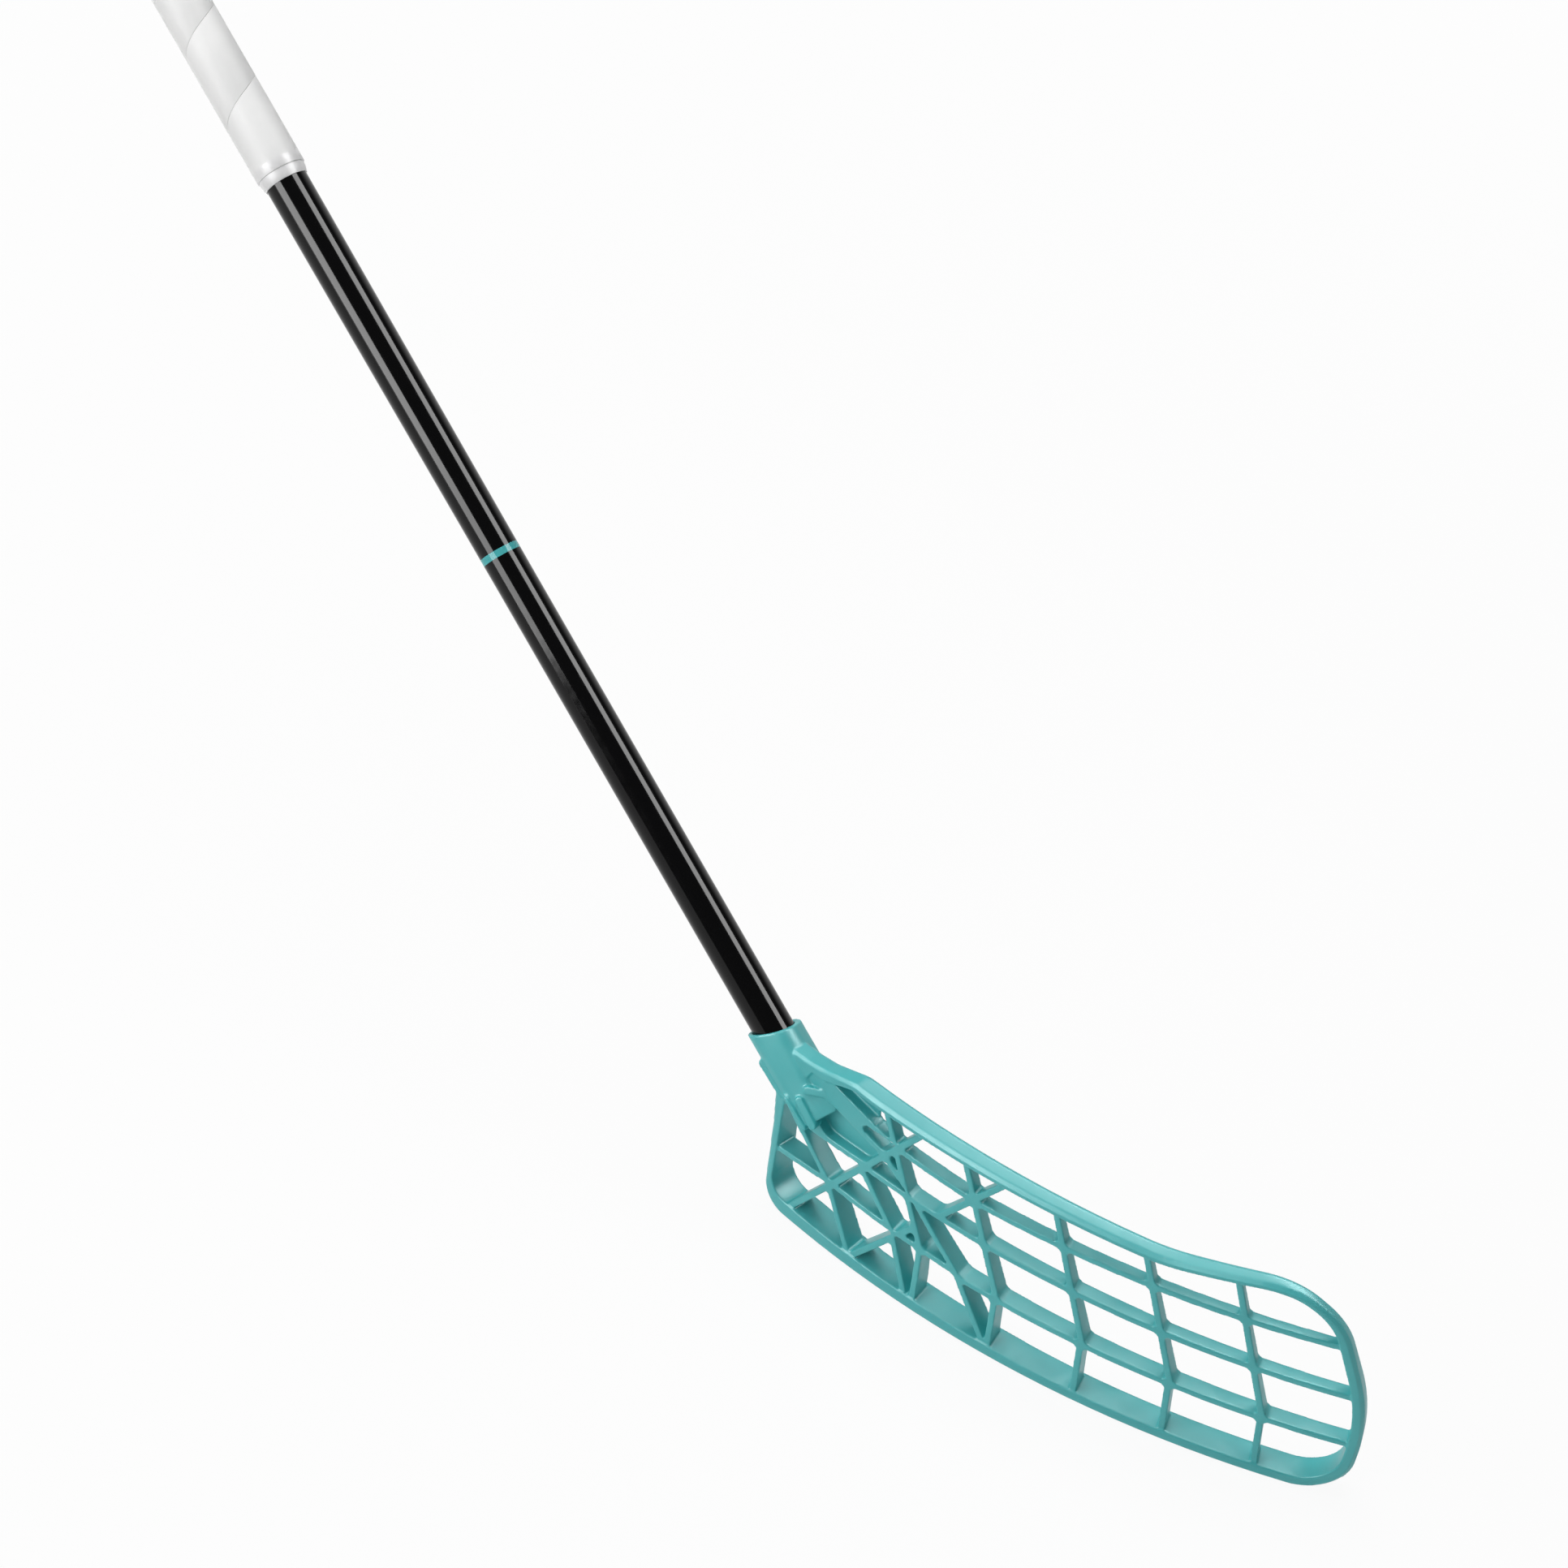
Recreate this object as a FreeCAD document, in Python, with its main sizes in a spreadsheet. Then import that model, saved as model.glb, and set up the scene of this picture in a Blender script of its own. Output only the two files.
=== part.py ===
import FreeCAD, Part
import math
import os
import Sketcher
from FreeCAD import Placement, Rotation, Vector

# A youth floorball stick in its playing stance: a hooked lattice blade moulded in one piece with
# its socket, a slim tube shaft, a wound grip, its finishing tape, an end cap and the blade screw.
# Millimetres. The origin lies on the shaft's axis, in the middle of the stretch that a rack holds.
# X runs from heel to toe, Y from the seen face to the far face, and Z is up with the sole level.

DRIVING_SIZES = [
    # Blade, measured flat along its seen face before the hook is put in
    ("blade_length", 279.0),
    ("blade_height", 104.0),
    ("crown_rise", 10.4),
    ("hook_radius", 465.0),
    ("hook_start", 6.0),
    ("sole_depth", 14.0),
    ("top_depth", 8.3),
    ("back_shift", 4.5),
    ("heel_bar_width", 3.6),
    ("toe_bar_width", 5.3),
    ("top_bar_height", 5.8),
    ("crown_bar_height", 5.6),
    ("sole_bar_height_heel", 8.8),
    ("sole_bar_height_toe", 6.0),
    ("heel_corner_radius", 13.0),
    ("toe_corner_radius", 24.0),
    ("crown_corner_radius", 38.0),
    ("edge_bevel", 1.5),
    # Lattice between the bars
    ("web_recess", 1.0),
    ("web_depth_sole", 11.2),
    ("web_depth_top", 5.6),
    ("rib_width", 3.0),
    ("cell_corner_cut", 1.4),
    ("pocket_depth", 5.8),
    # Socket for the shaft, measured along the shaft's axis from the rim
    ("socket_wall", 1.3),
    ("socket_side_rise", 1.0),
    ("socket_length", 41.0),
    ("socket_corner_radius", 8.0),
    ("socket_depth", 36.0),
    ("socket_rim_rise", 0.7),
    ("rim_tilt_angle", 16.6),
    ("rim_turn_angle", -2.7),
    ("socket_clearance", 0.05),
    ("socket_turn_angle", 30.0),
    ("socket_bar_width", 3.6),
    ("socket_bar_rise", 1.4),
    ("socket_bar_depth", 6.0),
    ("strip_set_back", 3.4),
    ("apron_set_back", 0.3),
    ("rim_x", -11.56),
    ("rim_y", 4.31),
    ("rim_z", 91.84),
    ("lie_angle", 36.64),
    ("lean_angle", 1.55),
    # Shaft and grip
    ("shaft_diameter", 17.2),
    ("shaft_top_diameter", 18.3),
    ("taper_reach", 212.0),
    ("shaft_wall", 1.6),
    ("bare_length", 413.0),
    ("rack_reach", 150.0),
    ("grip_length", 272.0),
    ("grip_thickness", 1.7),
    ("grip_pitch", 34.0),
    ("grip_gap", 0.6),
    ("grip_clearance", 0.05),
    ("tape_length", 9.0),
    ("tape_slope_length", 6.0),
    ("tape_thickness", 0.4),
    # End cap in the top of the shaft
    ("cap_head_height", 6.0),
    ("cap_head_edge", 2.2),
    ("cap_plug_length", 18.0),
    ("cap_clearance", 0.05),
    # Screw that pins the socket to the shaft from the far side
    ("screw_reach", 20.0),
    ("screw_diameter", 3.0),
    ("screw_clearance", 0.05),
    ("screw_head_diameter", 6.4),
    ("screw_head_height", 1.8),
    ("screw_head_edge", 0.6),
    ("screw_tip_reach", 2.5),
    ("overrun", 4.0),
]

# Lattice places on the seen face, as (share of blade_length, share of blade_height)
ROW_SHARES = {
    "r1_near": ((0.225, 0.800), (0.376, 0.778)),
    "r1": ((0.376, 0.778), (0.925, 0.834)),
    "r2": ((0.164, 0.590), (0.957, 0.577)),
    "r3_near": ((0.116, 0.372), (0.360, 0.350)),
    "r3": ((0.360, 0.331), (0.971, 0.314)),
}
COLUMN_TOP_SHARES = ((0.198, 0.938), (0.339, 0.945), (0.490, 0.941), (0.630, 0.946), (0.760, 1.022))
COLUMN_ROW_SHARES = ((0.2955, 0.362), (0.429, 0.358), (0.571, 0.353), (0.709, 0.350), (0.848, 0.343))
COLUMN_FOOT_SHARES = ((0.2996, 0.090), (0.4345, 0.080), (0.578, 0.085), (0.718, 0.080), (0.8585, 0.080))
SLANT_SHARES = {
    "d1": ((0.061, 0.099), (0.265, 0.9625)),
    "d2": ((0.191, 0.100), (0.405, 0.950)),
    "s1_high": ((0.013, 0.623), (0.116, 0.373)),
    "s1_low": ((0.116, 0.373), (0.170, 0.093)),
    "s2_high": ((0.164, 0.594), (0.242, 0.357)),
    "s2_low": ((0.242, 0.357), (0.280, 0.090)),
    "s3_root": ((0.111, 0.793), (0.201, 0.727)),
    "s3_high": ((0.201, 0.727), (0.262, 0.6135)),
    "s3_mid": ((0.262, 0.6135), (0.360, 0.3505)),
    "s3_low": ((0.360, 0.3505), (0.418, 0.095)),
    "r1_root": ((0.160, 0.820), (0.225, 0.830)),
    "arm_top": ((0.100, 0.880), (0.160, 0.840)),
    "r2_root": ((0.057, 0.577), (0.164, 0.598)),
    "r3_root": ((0.014, 0.332), (0.116, 0.372)),
}
# Middle lines of the frame's bars, which the outer cells run into
EDGE_SHARES = {
    "sole": ((0.0, 0.035), (1.0, 0.030)),
    "top": ((0.0, 0.972), (1.0, 0.972)),
    "crown": ((0.658, 0.972), (0.832, 1.068)),
    "toe": ((0.986, 0.490), (0.917, 0.943)),
    "toe_low": ((0.986, 0.490), (0.986, 0.0)),
    "heel": ((0.006, 0.0), (0.006, 1.0)),
    "neck": ((0.079, 0.879), (0.133, 0.945)),
    "neck_end": ((0.176, 0.800), (0.176, 1.0)),
    "arm_end": ((0.158, 0.700), (0.164, 0.860)),
    "socket": ((-0.041, 0.883), (0.076, 0.648)),
}
# Each opening of the lattice, by the ribs and bars around it in order
CELLS = [
    ("top", "c1", "r1_root", "neck_end"),
    ("top", "d1", "c1"),
    ("top", "c2", "r1_near", "d1"),
    ("top", "d2", "c2"),
    ("top", "c3", "r1", "d2"),
    ("top", "c4", "r1", "c3"),
    ("crown", "c5", "r1", "c4"),
    ("crown", "toe", "r1", "c5"),
    ("r1_root", "d1", "s3_root", "arm_end"),
    ("d1", "c1", "s3_high"),
    ("d1", "s3_high", "r2"),
    ("r1_near", "d2", "r2", "c1"),
    ("d2", "c2", "r2"),
    ("r1", "c3", "r2", "c2"),
    ("r1", "c4", "r2", "c3"),
    ("r1", "c5", "r2", "c4"),
    ("r1", "toe", "r2", "c5"),
    ("s1_high", "r3_root", "heel"),
    ("r2_root", "d1", "s1_high"),
    ("d1", "s2_high", "r3_near"),
    ("r2", "c1", "d2", "s2_high"),
    ("c1", "r3_near", "d2"),
    ("s3_mid", "r3_near", "c1"),
    ("r2", "c2", "r3", "s3_mid"),
    ("r2", "c3", "r3", "c2"),
    ("r2", "c4", "r3", "c3"),
    ("r2", "c5", "r3", "c4"),
    ("r2", "toe", "r3", "c5"),
    ("r3_root", "d1", "sole", "heel"),
    ("d1", "s1_low", "sole"),
    ("r3_near", "d2", "s1_low"),
    ("d2", "s2_low", "sole"),
    ("r3_near", "k1", "s2_low"),
    ("r3_near", "s3_low", "sole", "k1"),
    ("r3", "k2", "s3_low"),
    ("r3", "k3", "sole", "k2"),
    ("r3", "k4", "sole", "k3"),
    ("r3", "k5", "sole", "k4"),
    ("r3", "toe_low", "sole", "k5"),
]
# The blind recesses under the socket's square end and under the neck
POCKETS = [
    ("s3_root", "d1", "r2_root", "socket"),
    ("top", "c1", "arm_top", "neck"),
]

# Frame outlines as (share of blade_length, share of blade_height)
SPLIT_SHARE = 0.60
TOE_PLANE_SHARE = 0.86
TOE_SIDE_SHARE = 0.995
TOE_BEND_SHARE = 0.49
CROWN_FRONT_SHARES = (0.924, 0.943)
CROWN_CORNER_SHARE = 0.840
CROWN_START_SHARE = 0.658
NECK_OUTER_SHARES = ((0.140, 1.0), (0.079, 0.936), (0.044, 0.916))
SOCKET_CORNER_SHARES = (-0.012, 0.903)
HEEL_OUTER_SHARES = ((-0.011, 0.673), (-0.004, 0.45))
NECK_START_SHARE = 0.133
NECK_INNER_SHARES = ((0.079, 0.879), (0.057, 0.879), (0.013, 0.612))
CORNER_ROOM_SHARE = 0.46

# Raised bars on the socket's flat face, as (share of its half width, share of its length)
LEFT_BAR_SHARES = ((-0.10, -0.735), (-0.15, -1.02))
RIGHT_BAR_SHARES = ((0.48, -0.68), (1.14, -0.80), (1.62, -1.10))
LEFT_STRIP_SHARES = ((-0.93, -0.24), (-0.88, -0.62))
THIN_BAR_SHARES = ((-0.60, -0.66), (-0.57, -1.01))
APRON_SHARES = ((-0.70, -0.60), (0.48, -0.70), (1.14, -0.82), (1.30, -0.92), (1.10, -1.0), (-0.70, -1.0))


class Size:
    """A number together with the spreadsheet formula that gives it."""

    def __init__(self, value, formula):
        self.value = value
        self.formula = formula

    def joined(self, other, sign, value):
        formula = other.formula if isinstance(other, Size) else repr(other)
        return Size(value, f"({self.formula} {sign} {formula})")

    def __add__(self, other):
        return self.joined(other, "+", self.value + number(other))

    def __sub__(self, other):
        return self.joined(other, "-", self.value - number(other))

    def __truediv__(self, other):
        return self.joined(other, "/", self.value / number(other))


def number(measure):
    return measure.value if isinstance(measure, Size) else measure


doc = FreeCAD.newDocument("floorball_stick")
sheet = doc.addObject("Spreadsheet::Sheet", "sizes")


def fill_sheet():
    """Write every driving size to the sheet and hand the sizes back by name."""
    for row, (alias, value) in enumerate(DRIVING_SIZES, start=1):
        sheet.set(f"A{row}", alias)
        sheet.set(f"B{row}", str(value))
        sheet.setAlias(f"B{row}", alias)
    doc.recompute()
    return {alias: Size(float(sheet.get(alias)), f"sizes.{alias}") for alias, _ in DRIVING_SIZES}


size = fill_sheet()


def mm(alias):
    return size[alias].value


shaft_radius = size["shaft_diameter"] / 2
shaft_bore_radius = shaft_radius - size["shaft_wall"]
shaft_top_radius = size["shaft_top_diameter"] / 2
top_bore_radius = shaft_top_radius - size["shaft_wall"]
grip_seat_radius = shaft_top_radius + size["grip_clearance"]
grip_radius = grip_seat_radius + size["grip_thickness"]
socket_bore_radius = shaft_radius + size["socket_clearance"]
socket_half_width = socket_bore_radius + size["socket_wall"]
screw_hole_radius = size["screw_diameter"] / 2 + size["screw_clearance"]
shaft_length = size["socket_depth"] + size["bare_length"] + size["grip_length"]

# The shaft's axis leans back over the heel by the lie angle and towards the seen face
LIE = math.radians(mm("lie_angle"))
LEAN = math.radians(mm("lean_angle"))
AXIS = Vector(-math.cos(LIE) * math.cos(LEAN), -math.sin(LEAN), math.sin(LIE) * math.cos(LEAN))
FAR_SIDE = Vector(0, 1, 0)
UP = Vector(0, 0, 1)
STRAIGHT_TURN = Rotation(Vector(), FAR_SIDE, AXIS, "ZYX")
SHAFT_TURN = STRAIGHT_TURN * Rotation(UP, mm("socket_turn_angle"))
RIM_IN_BLADE = Vector(mm("rim_x"), mm("rim_y"), mm("rim_z"))
SHAFT_IN_BLADE = Placement(RIM_IN_BLADE, SHAFT_TURN)
BLADE_SHIFT = AXIS * -mm("rack_reach") - RIM_IN_BLADE


def along_shaft(reach):
    """Placement of a piece whose own Z axis follows the shaft, this far above the socket's rim."""
    return Placement(AXIS * (reach - mm("rack_reach")), SHAFT_TURN)


# Sketched pieces
def sketch_on(body, name, role):
    plane = next(feature for feature in body.Origin.OriginFeatures if feature.Role == role)
    sketch = body.newObject("Sketcher::SketchObject", name)
    sketch.AttachmentSupport = [(plane, "")]
    sketch.MapMode = "FlatFace"
    return sketch


def pin_point(sketch, line, end, place):
    """Hold one end of a sketched line at a place given by two sizes from the origin."""
    for kind, axis, measure in (("DistanceX", -2, place[0]), ("DistanceY", -1, place[1])):
        if number(measure) == 0:
            sketch.addConstraint(Sketcher.Constraint("PointOnObject", line, end, axis))
            continue
        index = sketch.addConstraint(Sketcher.Constraint(kind, -1, 1, line, end, number(measure)))
        sketch.setExpression(f"Constraints[{index}]", measure.formula)


def sketch_profile(body, name, places):
    """A closed half profile of straight lines, X outwards and Y along the axis."""
    sketch = sketch_on(body, name, "XZ_Plane")
    points = [Vector(number(x), number(y), 0) for x, y in places]
    for index, start in enumerate(points):
        sketch.addGeometry(Part.LineSegment(start, points[(index + 1) % len(points)]), False)
    for index in range(len(points)):
        following = (index + 1) % len(points)
        sketch.addConstraint(Sketcher.Constraint("Coincident", index, 2, following, 1))
        pin_point(sketch, index, 1, places[index])
    return sketch


def turned_body(label, places, placement):
    """A turned piece: its half profile goes once round its own Z axis."""
    body = doc.addObject("PartDesign::Body", label)
    body.Label = label
    sketch = sketch_profile(body, f"{label}_profile", places)
    turned = body.newObject("PartDesign::Revolution", f"{label}_turned")
    turned.Profile = sketch
    turned.ReferenceAxis = (sketch, ["V_Axis"])
    turned.Angle = 360.0
    body.Tip = turned
    body.Placement = placement
    return body


def circle_in(sketch, height, radius):
    """A circle on the sketch's upright axis, held by its height and radius."""
    centre = Vector(0, number(height), 0)
    index = sketch.addGeometry(Part.Circle(centre, Vector(0, 0, 1), number(radius)), False)
    pin_point(sketch, index, 3, (0, height))
    held = sketch.addConstraint(Sketcher.Constraint("Radius", index, number(radius)))
    sketch.setExpression(f"Constraints[{held}]", radius.formula)


def make_shaft():
    """The tube, standing on its lower end and widening up to the grip, with the hole for the screw."""
    taper_foot = size["socket_depth"] + size["taper_reach"]
    taper_head = size["socket_depth"] + size["bare_length"] - size["tape_length"]
    places = [
        (shaft_bore_radius, 0),
        (shaft_radius, 0),
        (shaft_radius, taper_foot),
        (shaft_top_radius, taper_head),
        (shaft_top_radius, shaft_length),
        (top_bore_radius, shaft_length),
        (top_bore_radius, taper_head),
        (shaft_bore_radius, taper_foot),
    ]
    body = turned_body("shaft", places, along_shaft(-mm("socket_depth")))
    doc.recompute()
    whole = body.Shape.Volume
    spot = sketch_on(body, "shaft_screw_spot", "XZ_Plane")
    circle_in(spot, size["socket_depth"] - size["screw_reach"], screw_hole_radius)
    hole = body.newObject("PartDesign::Pocket", "shaft_screw_hole")
    hole.Profile = spot
    hole.Type = "Length"
    hole.setExpression("Length", shaft_radius.formula)
    body.Tip = hole
    doc.recompute()
    if hole.Shape.Volume >= whole:
        raise RuntimeError("the screw hole missed the shaft's wall")
    return body


def make_finishing_tape():
    """The tape that closes the lower end of the grip and slopes down to the bare shaft."""
    edge_radius = grip_seat_radius + size["tape_thickness"]
    places = [
        (grip_seat_radius, 0),
        (edge_radius, 0),
        (grip_radius, size["tape_slope_length"]),
        (grip_radius, size["tape_length"]),
        (grip_seat_radius, size["tape_length"]),
    ]
    reach = mm("bare_length") - mm("tape_length")
    return turned_body("finishing_tape", places, along_shaft(reach))


def make_end_cap():
    """The plug in the top of the shaft, with a head as wide as the grip."""
    plug_radius = top_bore_radius - size["cap_clearance"]
    head_foot = size["cap_plug_length"]
    head_top = head_foot + size["cap_head_height"]
    places = [
        (0, 0),
        (plug_radius, 0),
        (plug_radius, head_foot),
        (grip_radius, head_foot),
        (grip_radius, head_top - size["cap_head_edge"]),
        (grip_radius - size["cap_head_edge"], head_top),
        (0, head_top),
    ]
    reach = mm("bare_length") + mm("grip_length") - mm("cap_plug_length")
    return turned_body("end_cap", places, along_shaft(reach))


def make_screw():
    """The screw in the socket's far face, pointing at the shaft's axis, head outwards."""
    shank_radius = size["screw_diameter"] / 2
    shank_length = socket_half_width - shaft_bore_radius + size["screw_tip_reach"]
    head_radius = size["screw_head_diameter"] / 2
    head_top = shank_length + size["screw_head_height"]
    places = [
        (0, 0),
        (shank_radius, size["screw_tip_reach"]),
        (shank_radius, shank_length),
        (head_radius, shank_length),
        (head_radius, head_top - size["screw_head_edge"]),
        (head_radius - size["screw_head_edge"], head_top),
        (0, head_top),
    ]
    outwards = SHAFT_TURN.multVec(FAR_SIDE)
    tip = shaft_bore_radius.value - mm("screw_tip_reach")
    base = along_shaft(-mm("screw_reach")).Base + outwards * tip
    return turned_body("blade_screw", places, Placement(base, Rotation(UP, outwards)))


# The grip: one strip wound from the tape to the end cap
SEAM_POINTS = 60


def helix_turn(radius, height):
    pitch = mm("grip_pitch")
    turn = Part.makeHelix(pitch, pitch, radius)
    turn.translate(Vector(0, 0, height))
    return turn.Edges[0]


def winding_ends(height):
    """The strip's cross-section in the plane where a turn starts."""
    low = grip_seat_radius.value
    high = grip_radius.value
    width = mm("grip_pitch") - mm("grip_gap")
    corners = [(low, height), (high, height), (high, height + width), (low, height + width)]
    points = [Vector(x, 0, z) for x, z in corners + corners[:1]]
    return Part.Face(Part.makePolygon(points))


def make_grip():
    """A flat strip wound up the shaft with a narrow open seam, cut square at both ends."""
    pitch = mm("grip_pitch")
    width = pitch - mm("grip_gap")
    turns = math.ceil(mm("grip_length") / pitch) + 1
    faces = [winding_ends(-pitch), winding_ends((turns - 1) * pitch)]
    for turn in range(turns):
        foot = (turn - 1) * pitch
        edges = {
            (radius, height): helix_turn(radius, foot + height)
            for radius in (grip_seat_radius.value, grip_radius.value)
            for height in (0, width)
        }
        low_in, high_in, low_out, high_out = edges.values()
        for pair in ((low_in, high_in), (low_out, high_out), (low_in, low_out), (high_in, high_out)):
            faces.append(Part.makeRuledSurface(*pair))
    shell = Part.makeShell(faces)
    shell.sewShape()
    strip = Part.makeSolid(shell)
    length = mm("grip_length")
    strip = strip.common(Part.makeCylinder(mm("shaft_diameter"), length))
    report_seam(turns)
    grip = doc.addObject("Part::Feature", "grip_wrap")
    grip.Label = "grip_wrap"
    grip.Shape = strip
    grip.Placement = along_shaft(mm("bare_length"))
    return grip


def report_seam(turns):
    """Measure the strip's least gap to itself on points of its two edges, and print it."""
    pitch = mm("grip_pitch")
    upper = helix_turn(grip_radius.value, pitch - mm("grip_gap")).discretize(SEAM_POINTS)
    lower = helix_turn(grip_radius.value, pitch).discretize(SEAM_POINTS)
    least = min(one.distanceToPoint(other) for one in upper for other in lower)
    print(f"grip_wrap: {turns} turns, least gap to itself {least:.2f} mm")


# The blade
def at(shares):
    return (shares[0] * mm("blade_length"), shares[1] * mm("blade_height"))


def face_frame(reach):
    """The tangent plane on the seen face: X along the blade, Y into its depth."""
    radius = mm("hook_radius")
    angle = (reach - mm("hook_start")) / radius
    base = Vector(mm("hook_start") + radius * math.sin(angle), radius * (1 - math.cos(angle)), 0)
    return Placement(base, Rotation(UP, math.degrees(angle)))


def rounded_wire(corners):
    """A closed wire through (x, z, radius) corners, each rounded by an arc of its own radius."""
    points = [Vector(x, 0, z) for x, z, _ in corners]
    rounds = []
    for index, corner in enumerate(points):
        before = points[index - 1] - corner
        after = points[(index + 1) % len(points)] - corner
        half = before.getAngle(after) / 2
        room = CORNER_ROOM_SHARE * min(before.Length, after.Length)
        cut = min(corners[index][2] / math.tan(half), room)
        before.normalize()
        after.normalize()
        inwards = (before + after).normalize()
        radius = cut * math.tan(half)
        middle = corner + inwards * (radius / math.sin(half) - radius)
        rounds.append((corner + before * cut, middle, corner + after * cut, cut))
    edges = []
    for index, (start, middle, end, cut) in enumerate(rounds):
        if cut:
            edges.append(Part.Arc(start, middle, end).toShape())
        edges.append(Part.LineSegment(end, rounds[(index + 1) % len(rounds)][0]).toShape())
    return Part.Wire(edges)


def through_blade(corners, reach, start, end):
    """A prism square to the seen face at one reach, between two depths behind that face."""
    prism = Part.Face(rounded_wire([(x - reach, z, radius) for x, z, radius in corners]))
    prism.translate(Vector(0, start, 0))
    prism = prism.extrude(Vector(0, end - start, 0))
    prism.Placement = face_frame(reach)
    return prism


def hooked_shell(front, sole_back, top_back):
    """The hooked layer between a depth behind the seen face and a back that thins upwards and to the toe."""
    radius = mm("hook_radius")
    low = -mm("overrun")
    tall = mm("blade_height") + mm("crown_rise") - 2 * low
    slope = (top_back - sole_back) / mm("blade_height")
    foot = Vector(mm("hook_start"), radius, low)
    back_foot = foot + Vector(mm("back_shift"), 0, 0)
    inner_low = radius - sole_back - slope * low
    inner_high = inner_low - slope * tall
    outer = Part.makeCylinder(radius - front, tall, foot)
    return outer.cut(Part.makeCone(inner_low, inner_high, tall, back_foot))


def outline_solid(heel_corners, toe_corners):
    """A plate through the blade whose heel and toe stretches are each square to their own face."""
    split = SPLIT_SHARE * mm("blade_length")
    toe_plane = TOE_PLANE_SHARE * mm("blade_length")
    deep = mm("blade_height")
    big = mm("hook_radius")
    beyond = Part.makeBox(big, big, big, Vector(0, -big / 2, -big / 2))
    beyond.Placement = face_frame(split)
    heel = through_blade(heel_corners, mm("hook_start"), -deep, deep).cut(beyond)
    toe = through_blade(toe_corners, toe_plane, -deep, deep).common(beyond)
    return heel.fuse(toe).removeSplitter()


def outer_outline():
    length = mm("blade_length")
    height = mm("blade_height")
    split = SPLIT_SHARE * length
    spare = mm("overrun")
    round_off = mm("heel_corner_radius")
    neck = [(*at(shares), round_off) for shares in NECK_OUTER_SHARES]
    side = [(*at(shares), round_off) for shares in HEEL_OUTER_SHARES]
    heel = [
        (0, 0, round_off),
        (split + spare, 0, 0),
        (split + spare, height, 0),
        *neck,
        (*at(SOCKET_CORNER_SHARES), mm("edge_bevel") * 2),
        *side,
    ]
    toe = [
        (split - spare, 0, 0),
        (TOE_SIDE_SHARE * length, 0, mm("toe_corner_radius")),
        (TOE_SIDE_SHARE * length, TOE_BEND_SHARE * height, mm("hook_radius")),
        (*at(CROWN_FRONT_SHARES), mm("crown_corner_radius")),
        (CROWN_CORNER_SHARE * length, height + mm("crown_rise"), mm("crown_corner_radius")),
        (CROWN_START_SHARE * length, height, mm("hook_radius")),
        (split - spare, height, 0),
    ]
    return outline_solid(heel, toe)


def inner_outline():
    length = mm("blade_length")
    height = mm("blade_height")
    split = SPLIT_SHARE * length
    spare = mm("overrun")
    under_top = height - mm("top_bar_height")
    sole = mm("sole_bar_height_toe")
    toe_bar = mm("toe_bar_width")
    toe_side = TOE_SIDE_SHARE * length - toe_bar
    heel_round = mm("heel_corner_radius") - mm("heel_bar_width")
    toe_round = mm("toe_corner_radius") - toe_bar
    crown_round = mm("crown_corner_radius") - toe_bar
    front_reach, front_height = at(CROWN_FRONT_SHARES)
    crown_height = height + mm("crown_rise") - mm("crown_bar_height")
    neck = [(*at(shares), 0) for shares in NECK_INNER_SHARES]
    heel = [
        (mm("heel_bar_width"), mm("sole_bar_height_heel"), heel_round),
        (split - spare, sole, 0),
        (split + spare, sole, 0),
        (split + spare, under_top, 0),
        (NECK_START_SHARE * length, under_top, 0),
        *neck,
    ]
    toe = [
        (split - spare, sole, 0),
        (toe_side, sole, toe_round),
        (toe_side, TOE_BEND_SHARE * height, mm("hook_radius")),
        (front_reach - toe_bar, front_height, crown_round),
        (CROWN_CORNER_SHARE * length, crown_height, crown_round),
        (CROWN_START_SHARE * length, under_top, mm("hook_radius")),
        (split - spare, under_top, 0),
    ]
    return outline_solid(heel, toe)


def rib_lines():
    """Every rib and bar as its two ends on the seen face and half its width."""
    half = mm("rib_width") / 2
    lines = {name: (at(start), at(end), half) for name, (start, end) in ROW_SHARES.items()}
    lines.update({name: (at(start), at(end), half) for name, (start, end) in SLANT_SHARES.items()})
    lines.update({name: (at(start), at(end), 0) for name, (start, end) in EDGE_SHARES.items()})
    columns = zip(COLUMN_TOP_SHARES, COLUMN_ROW_SHARES, COLUMN_FOOT_SHARES)
    for index, (top, row, foot) in enumerate(columns, start=1):
        lines[f"c{index}"] = (at(top), at(row), half)
        lines[f"k{index}"] = (at(row), at(foot), half)
    return lines


def crossing(one, other):
    """Where two lines, each a point and a direction, cross on the flat face."""
    (x, z), (dx, dz) = one
    (u, w), (du, dw) = other
    along = ((u - x) * dw - (w - z) * du) / (dx * dw - dz * du)
    return (x + along * dx, z + along * dz)


def cell_corners(names, lines):
    """The corners of one opening: its ribs' lines, moved in by half their width, crossed in turn."""
    rays = [(lines[name][0], subtract(lines[name][1], lines[name][0])) for name in names]
    raw = [crossing(rays[index - 1], ray) for index, ray in enumerate(rays)]
    middle = (sum(x for x, _ in raw) / len(raw), sum(z for _, z in raw) / len(raw))
    moved = []
    for name, ((x, z), (dx, dz)) in zip(names, rays):
        run = math.hypot(dx, dz)
        side = math.copysign(1, (middle[0] - x) * -dz + (middle[1] - z) * dx)
        shift = side * lines[name][2] / run
        moved.append(((x - dz * shift, z + dx * shift), (dx, dz)))
    return [crossing(moved[index - 1], ray) for index, ray in enumerate(moved)]


def subtract(one, other):
    return (one[0] - other[0], one[1] - other[1])


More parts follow.
